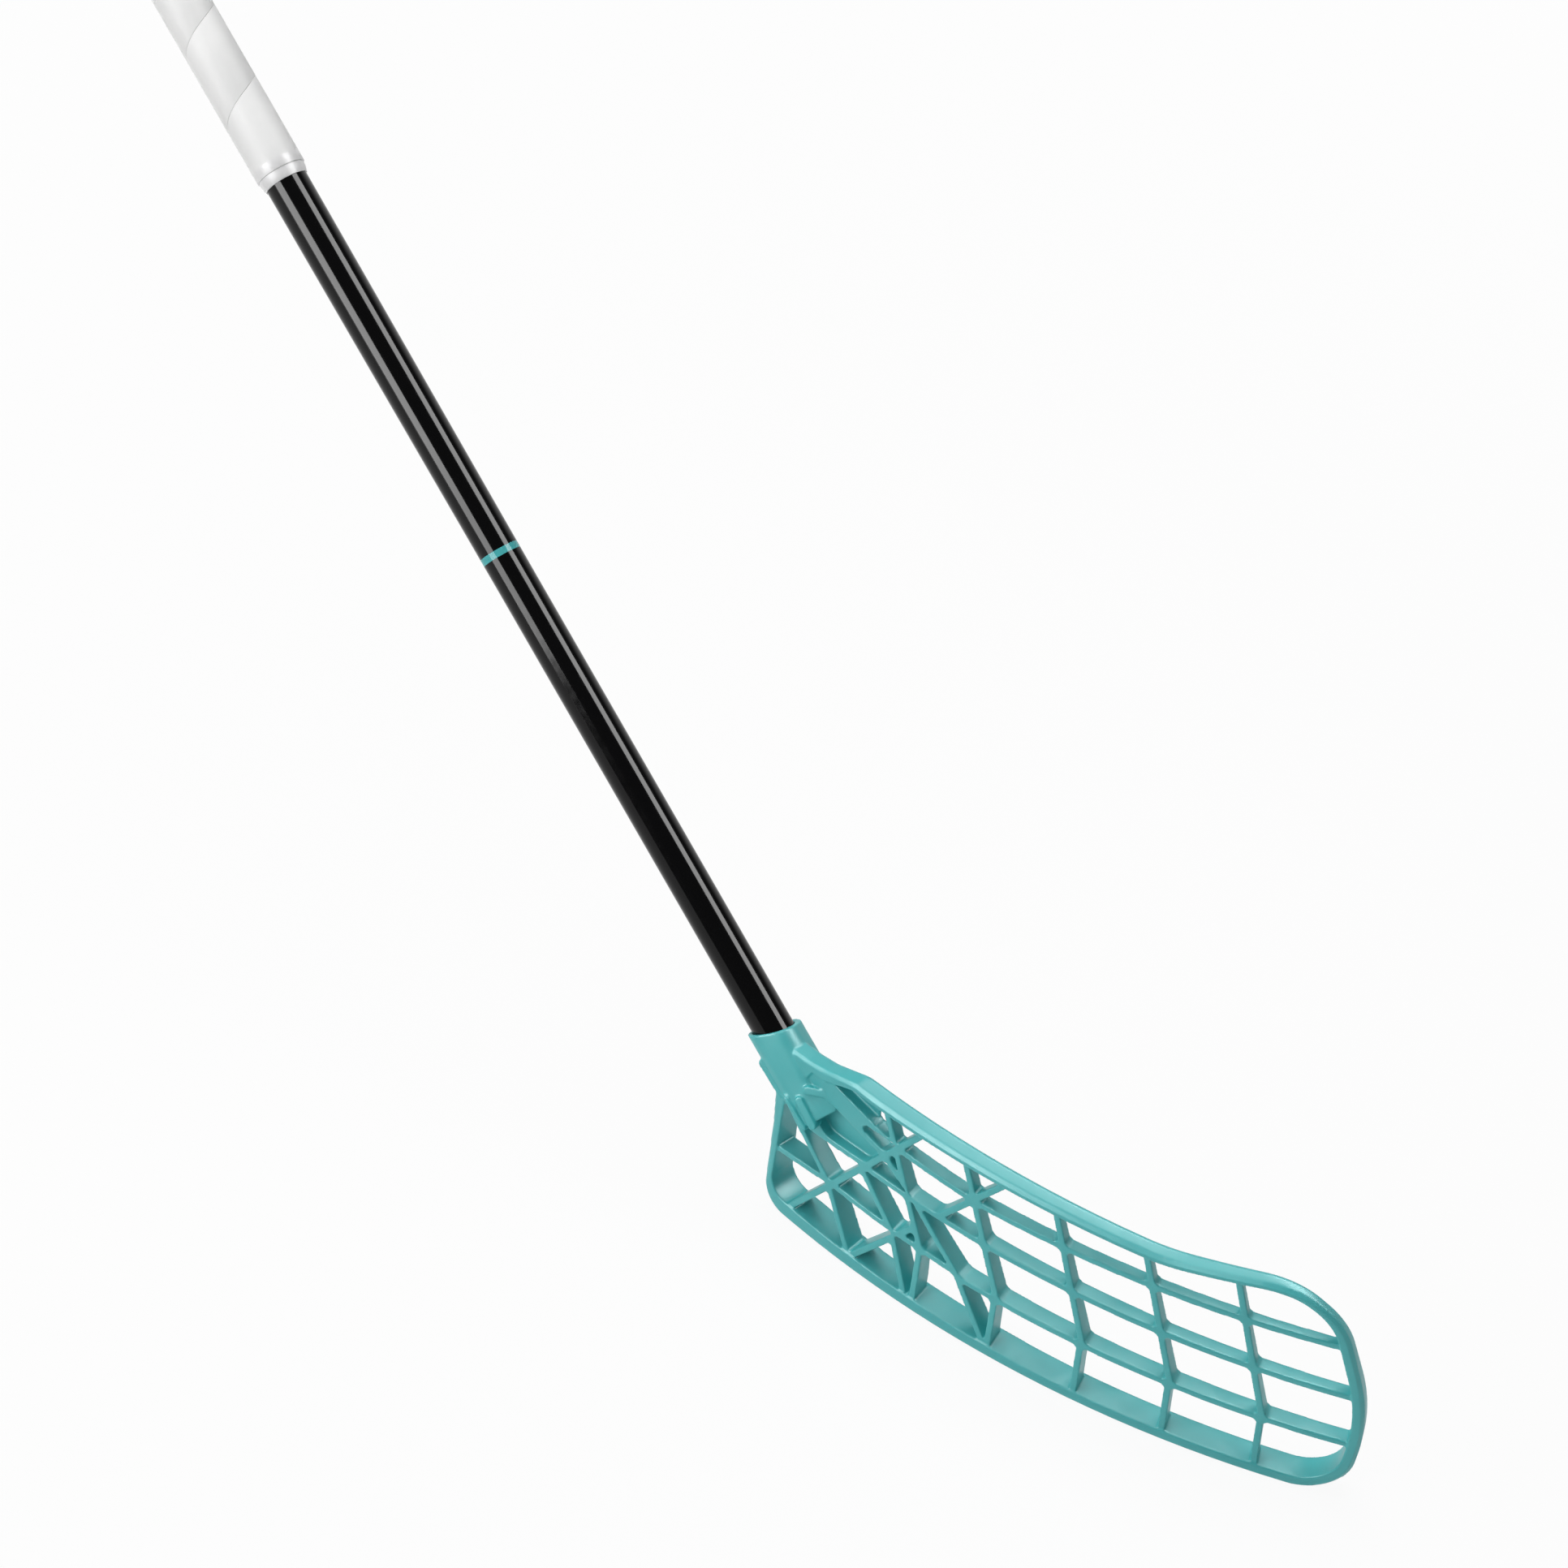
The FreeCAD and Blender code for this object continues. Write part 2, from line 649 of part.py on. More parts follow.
def cut_corners(corners):
    """The opening's outline with each corner cut off straight, as (x, z, radius) corners."""
    cut = []
    for index, corner in enumerate(corners):
        for neighbour in (corners[index - 1], corners[(index + 1) % len(corners)]):
            run = math.dist(corner, neighbour)
            share = min(mm("cell_corner_cut") / run, CORNER_ROOM_SHARE)
            x, z = (corner[axis] + (neighbour[axis] - corner[axis]) * share for axis in (0, 1))
            cut.append((x, z, 0))
    return cut


def cell_prism(names, lines, start, end):
    corners = cell_corners(names, lines)
    reach = sum(x for x, _ in corners) / len(corners)
    return through_blade(cut_corners(corners), reach, start, end)


def make_frame(outer):
    """The bars round the lattice, with their outer edges bevelled."""
    shell = hooked_shell(0, mm("sole_depth"), mm("top_depth"))
    inner = inner_outline()
    plate = outer.common(shell)
    edges = [edge for edge in plate.Edges if runs_along_face(edge)]
    plate = plate.makeChamfer(mm("edge_bevel"), edges)
    return plate.cut(inner)


def runs_along_face(edge):
    """True for the outline's edges on either face, but not for those through the depth."""
    hook_axis = Vector(mm("hook_start"), mm("hook_radius"), 0)
    ends = [vertex.Point - hook_axis for vertex in edge.Vertexes]
    middle = mm("hook_radius") - mm("top_depth") / 2
    return len({math.hypot(end.x, end.y) < middle for end in ends}) == 1


def make_web(outer):
    """The lattice: a thin hooked plate with its openings cut square to the face."""
    front = mm("web_recess")
    sole_back = front + mm("web_depth_sole")
    top_back = front + mm("web_depth_top")
    lines = rib_lines()
    behind = mm("sole_depth") + mm("overrun")
    web = outer.common(hooked_shell(front, sole_back, top_back))
    openings = [cell_prism(names, lines, -mm("overrun"), behind) for names in CELLS]
    openings += [cell_prism(names, lines, -mm("overrun"), mm("pocket_depth")) for names in POCKETS]
    return web.cut(openings)


def on_socket(shares):
    """Places in the socket's middle plane, given as shares of its half width and length."""
    return [Vector(x * socket_half_width.value, 0, z * mm("socket_length")) for x, z in shares]


def flat_bar(shares, width, rise):
    """A bar with round ends, let into the socket's flat face and raised above it."""
    depth = mm("socket_bar_depth")
    lift = Vector(0, depth - socket_half_width.value, 0)
    outwards = Vector(0, -1, 0)
    points = [point + lift for point in on_socket(shares)]
    pieces = []
    for start, end in zip(points, points[1:]):
        along = (end - start).normalize()
        across = Vector(along.z, 0, -along.x) * (width / 2)
        corners = [start + across, end + across, end - across, start - across]
        face = Part.Face(Part.makePolygon(corners + corners[:1]))
        pieces.append(face.extrude(outwards * (depth + rise)))
    knuckles = [Part.makeCylinder(width / 2, depth + rise, point, outwards) for point in points]
    return pieces + knuckles


def make_socket():
    """The rounded square sleeve, its slanted rim and the bars that run down into the lattice."""
    half = socket_half_width.value
    radius = mm("socket_corner_radius")
    right = half + mm("socket_side_rise")
    corners = [(-half, -half, radius), (right, -half, radius), (right, half, radius), (-half, half, radius)]
    sleeve = Part.Face(rounded_wire(corners))
    sleeve.rotate(Vector(), Vector(1, 0, 0), -90)
    sleeve.translate(Vector(0, 0, -mm("socket_length")))
    sleeve = sleeve.extrude(Vector(0, 0, mm("socket_length") + half))
    above = Part.makeBox(4 * half, 4 * half, 4 * half, Vector(-2 * half, -2 * half, 0))
    tilt = Rotation(UP, mm("rim_turn_angle")) * Rotation(FAR_SIDE, mm("rim_tilt_angle"))
    above.Placement = Placement(Vector(0, 0, mm("socket_rim_rise")), tilt)
    sleeve = sleeve.cut(above)
    width = mm("socket_bar_width")
    rise = mm("socket_bar_rise")
    bars = flat_bar(LEFT_BAR_SHARES, width, rise)
    bars += flat_bar(RIGHT_BAR_SHARES, width, rise)
    bars += flat_bar(LEFT_STRIP_SHARES, width, -mm("strip_set_back"))
    bars += flat_bar(THIN_BAR_SHARES, width / 2, rise / 2)
    apron_points = on_socket(APRON_SHARES)
    apron = Part.Face(Part.makePolygon(apron_points + apron_points[:1]))
    apron = apron.extrude(Vector(0, mm("apron_set_back") - half, 0))
    socket = sleeve.fuse([apron, *bars]).removeSplitter()
    socket.Placement = SHAFT_IN_BLADE
    return socket


def socket_bores():
    """The shaft's bore and the screw's hole through the far wall."""
    length = mm("socket_depth") + socket_half_width.value
    bore = Part.makeCylinder(socket_bore_radius.value, length, Vector(0, 0, -mm("socket_depth")))
    reach = Vector(0, 0, -mm("screw_reach"))
    hole = Part.makeCylinder(
        screw_hole_radius.value, socket_half_width.value + mm("overrun"), reach, FAR_SIDE)
    bores = bore.fuse(hole)
    bores.Placement = SHAFT_IN_BLADE
    return bores


def make_blade():
    """Frame, lattice and socket as the one moulding that they are."""
    outer = outer_outline()
    moulding = make_frame(outer).fuse([make_web(outer), make_socket()])
    moulding = moulding.cut(socket_bores()).removeSplitter()
    blade = doc.addObject("Part::Feature", "blade")
    blade.Label = "blade"
    blade.Shape = moulding
    blade.Placement = Placement(BLADE_SHIFT, Rotation())
    return blade


def check_and_write(pieces):
    """Stop on any failed feature or broken solid, then write one file for each piece."""
    doc.recompute()
    for item in doc.Objects:
        if "Invalid" in item.State or "Error" in item.State:
            raise RuntimeError(f"{item.Label} failed: {item.State}")
    for piece in pieces:
        if piece.Shape.isNull() or not piece.Shape.isValid():
            raise RuntimeError(f"{piece.Label} is not a sound solid")
    os.makedirs("parts", exist_ok=True)
    for piece in pieces:
        piece.Shape.exportStep(os.path.join("parts", f"{piece.Label}.step"))
        print(f"{piece.Label}: {len(piece.Shape.Solids)} solid, {piece.Shape.Volume:.0f} cubic mm")


check_and_write([
    make_blade(),
    make_shaft(),
    make_screw(),
    make_grip(),
    make_finishing_tape(),
    make_end_cap(),
])
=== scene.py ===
import math

import bmesh
import bpy
from mathutils import Matrix, Vector


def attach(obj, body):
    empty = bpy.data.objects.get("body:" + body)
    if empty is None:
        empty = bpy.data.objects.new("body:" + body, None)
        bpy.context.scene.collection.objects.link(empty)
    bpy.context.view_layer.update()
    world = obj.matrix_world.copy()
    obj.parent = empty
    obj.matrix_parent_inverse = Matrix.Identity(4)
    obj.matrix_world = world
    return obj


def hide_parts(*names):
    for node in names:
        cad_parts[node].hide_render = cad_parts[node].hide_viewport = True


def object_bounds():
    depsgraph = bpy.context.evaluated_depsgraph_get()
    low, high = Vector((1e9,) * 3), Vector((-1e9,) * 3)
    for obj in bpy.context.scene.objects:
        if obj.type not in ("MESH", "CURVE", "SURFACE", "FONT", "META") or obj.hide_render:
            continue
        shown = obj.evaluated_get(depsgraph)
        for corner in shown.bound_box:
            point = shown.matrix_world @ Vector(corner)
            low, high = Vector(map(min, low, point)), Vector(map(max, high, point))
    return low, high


# A youth floorball stick with a teal lattice blade, a black lacquered shaft and a white wound grip.
# Metres. The origin is on the shaft's axis, and +X runs from heel to toe.
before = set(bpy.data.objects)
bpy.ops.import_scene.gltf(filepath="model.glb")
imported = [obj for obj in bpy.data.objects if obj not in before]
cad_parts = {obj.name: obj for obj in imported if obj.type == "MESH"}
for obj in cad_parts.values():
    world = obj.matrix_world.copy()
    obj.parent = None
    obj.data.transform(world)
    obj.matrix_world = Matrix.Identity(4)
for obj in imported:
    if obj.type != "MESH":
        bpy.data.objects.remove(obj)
cad_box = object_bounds()

MM = 0.001

# The shaft's stance, and places along it above the socket's rim
LIE_ANGLE = math.radians(36.64)
LEAN_ANGLE = math.radians(1.55)
SOCKET_TURN = math.radians(30.0)
ORIGIN_REACH = 150.0 * MM
TAPER_REACH = 212.0 * MM
RING_REACH = 227.0 * MM
RING_HALF_WIDTH = 1.5 * MM
BARE_LENGTH = 413.0 * MM
GRIP_LENGTH = 272.0 * MM

# The shaft and its socket
SHAFT_RADIUS = 8.6 * MM
SHAFT_TOP_RADIUS = 9.15 * MM
SHAFT_WALL = 1.6 * MM
SHAFT_BORE_RADIUS = SHAFT_RADIUS - SHAFT_WALL
TOP_BORE_RADIUS = SHAFT_TOP_RADIUS - SHAFT_WALL
SOCKET_DEPTH = 36.0 * MM
SOCKET_HALF_WIDTH = 9.95 * MM

# The wound grip
GRIP_SEAT_RADIUS = 9.2 * MM
GRIP_RADIUS = 10.9 * MM
GRIP_PITCH = 34.0 * MM
GRIP_SEAM = 0.06 * MM
GRIP_EDGE_ROUND = 0.18 * MM
GRIP_EDGE_STEPS = 3
TURN_STEPS = 72

# The tape: its slope as (rise above the seat, height above the foot), then the edge of its upper lap
TAPE_LENGTH = 9.0 * MM
LAP_HEIGHT = 4.6 * MM
TAPE_SLOPE = (
    (0.35 * MM, 0.05 * MM),
    (0.75 * MM, 1.2 * MM),
    (1.05 * MM, 2.6 * MM),
    (1.2 * MM, LAP_HEIGHT),
)
LAP_EDGE_DROP = 0.12 * MM
LAP_EDGE_FOOT = 0.05 * MM
LAP_EDGE_HEAD = 0.3 * MM

# The end cap and the screw; the sweep of a rounded edge is in degrees
CAP_PLUG_LENGTH = 18.0 * MM
CAP_PLUG_GAP = 0.05 * MM
CAP_HEAD_HEIGHT = 6.0 * MM
CAP_EDGE = 2.2 * MM
CAP_EDGE_SWEEP = 80
CAP_EDGE_STEPS = 8
SCREW_REACH = 20.0 * MM
SCREW_TIP_LENGTH = 2.5 * MM
SCREW_SHANK_RADIUS = 1.5 * MM
SCREW_HEAD_RADIUS = 3.2 * MM
SCREW_HEAD_HEIGHT = 1.8 * MM
SCREW_EDGE = 0.7 * MM
SCREW_EDGE_SWEEP = 75
SCREW_EDGE_STEPS = 6
RECESS_RADIUS = SCREW_HEAD_RADIUS * 0.5
RECESS_FLOOR_RADIUS = SCREW_HEAD_RADIUS * 0.36
RECESS_DEPTH = 0.9 * MM

# How turned and wound pieces are meshed and shaded
ROUND_STEPS = 96
SCREW_STEPS = 48
TURNED_MERGE = 0.005 * MM
TURNED_SHARP_ANGLE = math.radians(35)
WOUND_SHARP_ANGLE = math.radians(40)

# How the blade's moulding is eased
MERGE_REACH = 0.02 * MM
MOULDING_GRAIN = 0.42 * MM
EASING_SHARE = 0.5
EASING_ROUNDS = 6
KEPT_SHARE = 0.2

# The blade's hook, seen from above, and how its upper edge rolls over to the front
HOOK_CENTRE = Vector((137.876, 464.747)) * MM
HOOK_RADIUS = 465.0 * MM
TOP_DEPTH = 7.2 * MM
ROLL_DROP = 2.8 * MM
ROLL_HEIGHT = 6.4 * MM
ROLL_STEP = 2.5 * MM
ROLL_START = 15.0 * MM
ROLL_END = 246.0 * MM
ROLL_FADE = 28.0 * MM

# Colours
DARK_TEAL = (0.062, 0.465, 0.482)
LIGHT_TEAL = (0.082, 0.51, 0.522)
RING_TEAL = (0.08, 0.47, 0.485)
LACQUER_BLACK = (0.0025, 0.0025, 0.0028)
BAND_GREY = (0.81, 0.815, 0.81)
BAND_WHITE = (0.88, 0.88, 0.875)
TAPE_GREY = (0.80, 0.80, 0.80)
TAPE_WHITE = (0.86, 0.86, 0.865)
CAP_GREY = (0.72, 0.72, 0.72)
CAP_WHITE = (0.78, 0.78, 0.78)
ZINC = (0.62, 0.63, 0.64)
FLOOR_WHITE = (0.86, 0.86, 0.86)

# The part of a noise's range that a look runs over
NOISE_LOW = 0.3
NOISE_HIGH = 0.7
NOISE_ROUGHNESS = 0.55

# The photograph's camera
CAMERA_PLACE = Vector((0.73515, -0.71984, 0.86157))
CAMERA_RIGHT = Vector((0.68179, 0.72266, 0.11366))
CAMERA_DOWN = Vector((0.53655, -0.38837, -0.74919))
CAMERA_AHEAD = Vector((-0.49727, 0.57178, -0.65253))
CAMERA_LENS = 74.27
CAMERA_SENSOR = 36.0
CAMERA_CLIP = 50.0

# Strip lamps: name, the place across the shaft that mirrors it (-1 to 1), shift up the shaft, width, watts
STRIPS = (
    ("right_strip", -0.48, 0.0, 0.6, 46.0),
    ("left_strip", 0.38, 0.72, 0.85, 54.0),
)
STRIP_LENGTH = 1.8
STRIP_DISTANCE = 1.3
STRIP_HEIGHT = 0.12

# Square lamps: name, place, side, watts
SOFTBOXES = (
    ("overhead_softbox", Vector((-0.5, 0.1, 2.55)), 1.9, 47.0),
    ("front_softbox", Vector((-0.7, -2.2, 1.0)), 1.8, 25.0),
)
BLADE_MIDDLE = Vector((0.15, 0.05, -0.1))

# The floor keeps some shade near the object and is plain white from afar
FLOOR_HALF = 8.0
SHADE_NEAR = 0.6
SHADE_FAR = 2.0
NEAR_GLOW = 0.93

# The world: its light on surfaces, and what a mirror shows from the camera's side round to the far side
WORLD_LIGHT = 0.17
MIRROR_DIM = 0.1
MIRROR_TURN_START = 0.05
MIRROR_TURN_END = 0.45

AXIS = Vector((
    -math.cos(LIE_ANGLE) * math.cos(LEAN_ANGLE),
    -math.sin(LEAN_ANGLE),
    math.sin(LIE_ANGLE) * math.cos(LEAN_ANGLE),
))


def shaft_matrix(reach):
    """A place on the shaft's axis, this far above the socket's rim.

    Local Z runs up the shaft and local Y out of the socket's far face.
    """
    far = Vector((0.0, 1.0, 0.0))
    across = far.cross(AXIS).normalized()
    far = AXIS.cross(across)
    turn = Matrix((across, far, AXIS)).transposed()
    turn = turn @ Matrix.Rotation(SOCKET_TURN, 3, "Z")
    return Matrix.Translation(AXIS * (reach - ORIGIN_REACH)) @ turn.to_4x4()


# Node helpers
class Nodes:
    """Short calls to add nodes and links to a node tree."""

    def __init__(self, tree):
        self.tree = tree

    def put(self, target, value):
        """Link an output socket to an input, or set the input's own value."""
        if isinstance(value, bpy.types.NodeSocket):
            self.tree.links.new(value, target)
        else:
            target.default_value = value

    def node(self, kind, sockets=None, **settings):
        """A new node with these settings, and these values or links at its inputs."""
        made = self.tree.nodes.new(kind)
        for key, value in settings.items():
            setattr(made, key, value)
        for key, value in (sockets or {}).items():
            self.put(made.inputs[key], value)
        return made

    def maths(self, operation, one, other=0.0):
        return self.node("ShaderNodeMath", {0: one, 1: other}, operation=operation).outputs[0]

    def spread(self, value, low, high, to_low, to_high):
        """Map one range of a value to another, clamped."""
        sockets = dict(enumerate((value, low, high, to_low, to_high)))
        return self.node("ShaderNodeMapRange", sockets).outputs["Result"]

    def along(self, place, direction):
        """How far a place lies along a direction from the origin."""
        sockets = {0: place, 1: tuple(direction)}
        return self.node("ShaderNodeVectorMath", sockets, operation="DOT_PRODUCT").outputs["Value"]


class Shader(Nodes):
    """A new node material."""

    def __init__(self, name):
        self.material = bpy.data.materials.new(name)
        self.material.use_nodes = True
        super().__init__(self.material.node_tree)
        self.surface = self.tree.nodes["Principled BSDF"]

    def place(self):
        return self.node("ShaderNodeTexCoord").outputs["Object"]

    def noise(self, place, scale, detail=3.0):
        sockets = {"Vector": place, "Scale": scale, "Detail": detail, "Roughness": NOISE_ROUGHNESS}
        return self.node("ShaderNodeTexNoise", sockets).outputs["Fac"]

    def between(self, noise, low, high):
        """A value that runs from low to high with a noise."""
        return self.spread(noise, NOISE_LOW, NOISE_HIGH, low, high)

    def mix(self, factor, one, other):
        """Mix two colours; the node's colours are its inputs 6 and 7 and its output 2."""
        sockets = {"Factor": factor, 6: (*one, 1.0), 7: (*other, 1.0)}
        return self.node("ShaderNodeMix", sockets, data_type="RGBA").outputs[2]

    def shades(self, noise, dark, light):
        """A colour that runs from dark to light with a noise."""
        return self.mix(self.between(noise, 0.0, 1.0), dark, light)

    def bump(self, height, strength, distance):
        sockets = {"Strength": strength, "Distance": distance, "Height": height}
        return self.node("ShaderNodeBump", sockets).outputs["Normal"]

    def finish(self, **sockets):
        """Set the surface's inputs, with underscores for the spaces in their names."""
        for name, value in sockets.items():
            self.put(self.surface.inputs[name.replace("_", " ")], value)
        return self.material


# Materials
def moulded_plastic():
    """Satin teal polyethylene with a faint cloudiness and fine moulded grain."""
    shader = Shader("teal_moulded_plastic")
    place = shader.place()
    cloud = shader.noise(place, scale=28.0)
    grain = shader.noise(place, scale=1400.0, detail=2.0)
    return shader.finish(
        Base_Color=shader.shades(cloud, DARK_TEAL, LIGHT_TEAL),
        Roughness=shader.between(shader.noise(place, scale=90.0), 0.34, 0.46),
        Specular_IOR_Level=0.45,
        Normal=shader.bump(grain, strength=0.12, distance=0.1 * MM))


def shaft_lacquer():
    """Gloss black lacquer with one painted teal ring and faint polishing waves."""
    shader = Shader("black_shaft_lacquer")
    place = shader.place()
    off_ring = shader.maths("SUBTRACT", shader.along(place, AXIS), RING_REACH - ORIGIN_REACH)
    ring = shader.maths("LESS_THAN", shader.maths("ABSOLUTE", off_ring), RING_HALF_WIDTH)
    wave = shader.noise(place, scale=60.0)
    return shader.finish(
        Base_Color=shader.mix(ring, LACQUER_BLACK, RING_TEAL),
        Roughness=shader.between(shader.noise(place, scale=240.0), 0.07, 0.12),
        Specular_IOR_Level=0.22,
        Normal=shader.bump(wave, strength=0.04, distance=0.5 * MM))


def grip_band():
    """White soft band with a fine pebbled skin and slight greying."""
    shader = Shader("white_grip_band")
    place = shader.place()
    cloud = shader.noise(place, scale=35.0)
    grain = shader.noise(place, scale=2200.0, detail=2.0)
    return shader.finish(
        Base_Color=shader.shades(cloud, BAND_GREY, BAND_WHITE),
        Roughness=0.62,
        Specular_IOR_Level=0.35,
        Normal=shader.bump(grain, strength=0.25, distance=0.1 * MM))


def finishing_tape_film():
    """Smooth white plastic tape."""
    shader = Shader("white_finishing_tape")
    cloud = shader.noise(shader.place(), scale=120.0)
    return shader.finish(
        Base_Color=shader.shades(cloud, TAPE_GREY, TAPE_WHITE),
        Roughness=0.38,
        Specular_IOR_Level=0.45,
        Normal=shader.bump(cloud, strength=0.06, distance=0.3 * MM))


def cap_rubber():
    """Matt white rubber of the end cap."""
    shader = Shader("white_cap_rubber")
    grain = shader.noise(shader.place(), scale=900.0)
    return shader.finish(
        Base_Color=shader.shades(grain, CAP_GREY, CAP_WHITE),
        Roughness=0.7,
        Specular_IOR_Level=0.3,
        Normal=shader.bump(grain, strength=0.2, distance=0.1 * MM))


def screw_steel():
    """Bright zinc-plated steel with turning marks."""
    shader = Shader("zinc_screw_steel")
    marks = shader.noise(shader.place(), scale=1800.0)
    return shader.finish(
        Base_Color=(*ZINC, 1.0),
        Metallic=1.0,
        Roughness=shader.between(marks, 0.22, 0.4),
        Normal=shader.bump(marks, strength=0.1, distance=0.1 * MM))


# Object and mesh helpers
def new_object(name, data):
    """A new object in the scene."""
    made = bpy.data.objects.new(name, data)
    bpy.context.scene.collection.objects.link(made)
    return made


def new_piece(name, mesh, material, node):
    """Show a finished mesh as a piece that stands for this CAD node."""
    piece = new_object(name, mesh)
    mesh.materials.clear()
    mesh.materials.append(material)
    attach(piece, "root")
    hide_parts(node)


def baked(carrier):
    """The mesh that an object's modifiers make of it; the object itself goes."""
    graph = bpy.context.evaluated_depsgraph_get()
    mesh = bpy.data.meshes.new_from_object(carrier.evaluated_get(graph))
    bpy.data.objects.remove(carrier)
    return mesh


def shade_smooth(mesh, angle):
    """Smooth shading, with edges beyond this angle kept sharp."""
    mesh.shade_smooth()
    mesh.set_sharp_from_angle(angle=angle)


def lathe(name, profile, matrix, steps=ROUND_STEPS):
    """Turn a profile of (radius, height) places about local Z and move it to its place."""
    build = bmesh.new()
    verts = [build.verts.new((radius, 0.0, height)) for radius, height in profile]
    edges = [build.edges.new(pair) for pair in zip(verts, verts[1:])]
    bmesh.ops.spin(
        build, geom=verts + edges, axis=(0, 0, 1), cent=(0, 0, 0), angle=2 * math.pi, steps=steps,
        use_merge=True)
    bmesh.ops.remove_doubles(build, verts=build.verts, dist=TURNED_MERGE)
    bmesh.ops.recalc_face_normals(build, faces=build.faces)
    mesh = bpy.data.meshes.new(name)
    build.to_mesh(mesh)
    build.free()
    mesh.transform(matrix)
    shade_smooth(mesh, TURNED_SHARP_ANGLE)
    return mesh


def rounded_edge(side, top, radius, sweep, steps):
    """Places on the round between a profile's side and its top, over a sweep in degrees."""
    turns = [math.radians(sweep * step / steps) for step in range(steps + 1)]
    middle = (side - radius, top - radius)
    return [
        (middle[0] + radius * math.cos(turn), middle[1] + radius * math.sin(turn))
        for turn in turns
    ]


# Pieces
def eased_moulding(solid, name):
    """A closed copy of a solid's mesh, every edge and inner corner rounded as a mould leaves them."""
    rough = solid.data.copy()
    build = bmesh.new()
    build.from_mesh(rough)
    bmesh.ops.remove_doubles(build, verts=build.verts, dist=MERGE_REACH)
    build.to_mesh(rough)
    build.free()
    carrier = new_object(name, rough)
    skin = carrier.modifiers.new("skin", "REMESH")
    skin.mode = "VOXEL"
    skin.voxel_size = MOULDING_GRAIN
    eased = carrier.modifiers.new("eased", "SMOOTH")
    eased.factor = EASING_SHARE
    eased.iterations = EASING_ROUNDS
    thinned = carrier.modifiers.new("thinned", "DECIMATE")
    thinned.ratio = KEPT_SHARE
    mesh = baked(carrier)
    mesh.name = name
    mesh.shade_smooth()
    return mesh


def smooth_share(value):
    """0 below 0, 1 above 1, and a smooth run between them."""
    share = min(max(value, 0.0), 1.0)
    return share * share * (3.0 - 2.0 * share)


def roll_top(mesh):
    """Slope the blade's upper edge down to its front, where the moulding rolls over."""
    hooked = []
    top_line = {}
    for vertex in mesh.vertices:
        across = vertex.co.xy - HOOK_CENTRE
        run = HOOK_RADIUS * math.atan2(across.x, -across.y)
        hooked.append((run, HOOK_RADIUS - across.length))
        step = math.floor(run / ROLL_STEP)
        top_line[step] = max(top_line.get(step, vertex.co.z), vertex.co.z)
    for vertex, (run, depth) in zip(mesh.vertices, hooked):
        from_heel = smooth_share((run - ROLL_START) / ROLL_FADE)
        from_toe = smooth_share((ROLL_END - run) / ROLL_FADE)
        reach = from_heel * from_toe
        if reach == 0.0:
            continue
        place = run / ROLL_STEP - 0.5
        low = math.floor(place)
        top = top_line[low] + (top_line[low + 1] - top_line[low]) * (place - low)
        height = smooth_share(1.0 - (top - vertex.co.z) / ROLL_HEIGHT)
        front = min(max(1.0 - depth / TOP_DEPTH, 0.0), 1.0)
        vertex.co.z -= ROLL_DROP * reach * height * front


def make_blade():
    mesh = eased_moulding(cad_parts["blade"], "blade_moulding")
    roll_top(mesh)
    new_piece("blade_moulding", mesh, moulded_plastic(), "blade")


def make_shaft():
    """A tube that widens towards the grip."""
    length = SOCKET_DEPTH + BARE_LENGTH + GRIP_LENGTH
    taper_foot = SOCKET_DEPTH + TAPER_REACH
    taper_head = SOCKET_DEPTH + BARE_LENGTH - TAPE_LENGTH
    profile = [
        (SHAFT_BORE_RADIUS, 0.0),
        (SHAFT_RADIUS, 0.0),
        (SHAFT_RADIUS, taper_foot),
        (SHAFT_TOP_RADIUS, taper_head),
        (SHAFT_TOP_RADIUS, length),
        (TOP_BORE_RADIUS, length),
        (TOP_BORE_RADIUS, taper_head),
        (SHAFT_BORE_RADIUS, taper_foot),
        (SHAFT_BORE_RADIUS, 0.0),
    ]
    mesh = lathe("shaft_tube", profile, shaft_matrix(-SOCKET_DEPTH))
    new_piece("shaft_tube", mesh, shaft_lacquer(), "shaft")


def make_tape():
    """The tape's sloping end, the thin edge of its upper lap, and the stretch flush with the grip."""
    profile = [
        (GRIP_SEAT_RADIUS, 0.0),
        *[(GRIP_SEAT_RADIUS + rise, height) for rise, height in TAPE_SLOPE],
        (GRIP_RADIUS - LAP_EDGE_DROP, LAP_HEIGHT + LAP_EDGE_FOOT),
        (GRIP_RADIUS, LAP_HEIGHT + LAP_EDGE_HEAD),
        (GRIP_RADIUS, TAPE_LENGTH),
        (GRIP_SEAT_RADIUS, TAPE_LENGTH),
        (GRIP_SEAT_RADIUS, 0.0),
    ]
    mesh = lathe("finishing_tape", profile, shaft_matrix(BARE_LENGTH - TAPE_LENGTH))
    new_piece("finishing_band", mesh, finishing_tape_film(), "finishing_tape")


def make_cap():
    """A plug in the shaft's top under a rounded head."""
    plug = TOP_BORE_RADIUS - CAP_PLUG_GAP
    top = CAP_PLUG_LENGTH + CAP_HEAD_HEIGHT
    profile = [
        (0.0, 0.0),
        (plug, 0.0),
        (plug, CAP_PLUG_LENGTH),
        (GRIP_RADIUS, CAP_PLUG_LENGTH),
        *rounded_edge(GRIP_RADIUS, top, CAP_EDGE, CAP_EDGE_SWEEP, CAP_EDGE_STEPS),
        (0.0, top),
    ]
    mesh = lathe("end_cap", profile, shaft_matrix(BARE_LENGTH + GRIP_LENGTH - CAP_PLUG_LENGTH))
    new_piece("end_cap_moulding", mesh, cap_rubber(), "end_cap")


